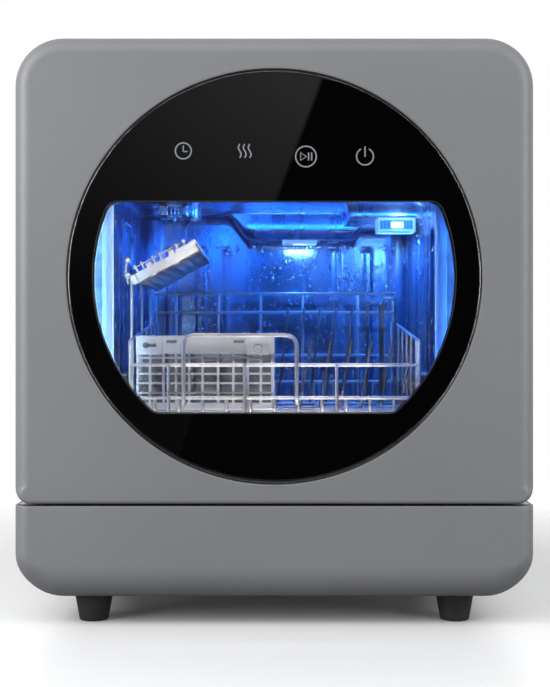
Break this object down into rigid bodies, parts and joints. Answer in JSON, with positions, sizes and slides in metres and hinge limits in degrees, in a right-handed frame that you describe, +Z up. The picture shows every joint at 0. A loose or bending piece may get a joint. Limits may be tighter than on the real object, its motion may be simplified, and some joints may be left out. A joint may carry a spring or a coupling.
{
  "type": "countertop dishwasher",
  "caption": "Free-standing countertop dishwasher with a drop-down door, round glass with a clear window, sliding wire rack, cutlery basket, cup shelf, spray arm and water tank.",
  "frame": {"origin": "on the table, under the middle of the body's footprint", "axes": "+X to the machine's right as seen from the front, +Y to its back, +Z up; the door faces -Y"},
  "size_m": [0.42, 0.43, 0.478],
  "materials": {
    "grey_paint": "satin",
    "black_plastic": "matte",
    "rear_paint": "matte",
    "zinc_steel": "satin",
    "stainless": "brushed",
    "bright_steel": "polished",
    "rack_steel": "satin",
    "foot_rubber": "matte",
    "grey_plastic": "satin",
    "dark_plastic": "satin",
    "hose_rubber": "matte",
    "copper_heater": "satin",
    "white_plastic": "satin",
    "circuit_board": "satin",
    "tank_plastic": "translucent",
    "dark_glass": "gloss",
    "clear_glass": "gloss",
    "black_print": "gloss",
    "lamp_lens": "gloss"
  },
  "bodies": {
    "cabinet": {"cabinet_shell": "grey_paint", "rear_panel": "rear_paint", "front_bezel": "black_plastic", "base_plinth": "grey_paint", "base_deck": "zinc_steel", "base_tray": "zinc_steel", "feet": "foot_rubber", "screws": "bright_steel", "tub": "stainless", "tub_pads": "foot_rubber", "door_seal": "foot_rubber", "rack_rails": "dark_plastic", "hinge_brackets": "zinc_steel", "pins": "bright_steel", "latch_catch": "black_plastic", "lamp_housings": "dark_plastic", "lamp_lenses": "lamp_lens", "ceiling_sprayer": "dark_plastic", "sump": "dark_plastic", "coarse_filter": "dark_plastic", "fine_filter": "stainless", "spray_shaft": "dark_plastic", "circulation_pump": "dark_plastic", "supply_pipe": "hose_rubber", "flow_heater": "copper_heater", "drain_pump": "dark_plastic", "drain_hose": "hose_rubber", "blower_housing": "black_plastic", "control_box": "white_plastic", "control_board": "circuit_board", "water_tank": "tank_plastic", "fill_bezel": "black_plastic", "fill_neck": "white_plastic", "inlet_spigot": "white_plastic", "drain_spigot": "black_plastic", "power_socket": "black_plastic"},
    "door": {"door_panel": "grey_paint", "door_frame": "black_plastic", "glass_disc": "dark_glass", "mask_ring": "black_print", "touch_board": "circuit_board", "inner_pane": "clear_glass", "pane_gasket": "foot_rubber", "door_liner": "stainless", "latch_tongue": "bright_steel", "door_grip": "black_plastic"},
    "rack": {"rack_floor": "rack_steel", "rack_front": "rack_steel", "rack_back": "rack_steel", "rack_sides": "rack_steel", "rack_tines": "rack_steel", "rack_handle": "rack_steel", "rack_glides": "grey_plastic", "shelf_rod": "rack_steel"},
    "shelf": {"cup_shelf": "grey_plastic"},
    "basket": {"basket_walls": "grey_plastic", "basket_dividers": "grey_plastic"},
    "arm": {"spray_arm": "dark_plastic"},
    "fan": {"fan_rotor": "dark_plastic"},
    "lid": {"fill_lid": "black_plastic"}
  },
  "joints": [
    {"name": "door_hinge", "type": "hinge", "parent": "cabinet", "child": "door", "pos_m": [0, -0.207, 0.1096], "axis": [1, 0, 0], "range_deg": [0, 90]},
    {"name": "rack_slide", "type": "slide", "parent": "cabinet", "child": "rack", "axis": [0, -1, 0], "range_m": [0, 0.17]},
    {"name": "cup_shelf_fold", "type": "hinge", "parent": "rack", "child": "shelf", "pos_m": [-0.1295, 0, 0.289], "axis": [0, -1, 0], "range_deg": [-28, 30]},
    {"name": "basket_lift", "type": "slide", "parent": "rack", "child": "basket", "axis": [0, 0, 1], "range_m": [0, 0.03]},
    {"name": "spray_arm_spin", "type": "hinge", "parent": "cabinet", "child": "arm", "pos_m": [0, -0.01, 0.144], "axis": [0, 0, 1], "continuous": true},
    {"name": "fan_spin", "type": "hinge", "parent": "cabinet", "child": "fan", "pos_m": [0.172, 0.03, 0.26], "axis": [1, 0, 0], "continuous": true},
    {"name": "fill_lid_hinge", "type": "hinge", "parent": "cabinet", "child": "lid", "pos_m": [0.09, 0.088, 0.474], "axis": [-1, 0, 0], "range_deg": [0, 95]}
  ],
  "couplings": [
    {"joint": "rack_slide", "follows": "door_hinge", "m_per_rad": 0.10822}
  ]
}
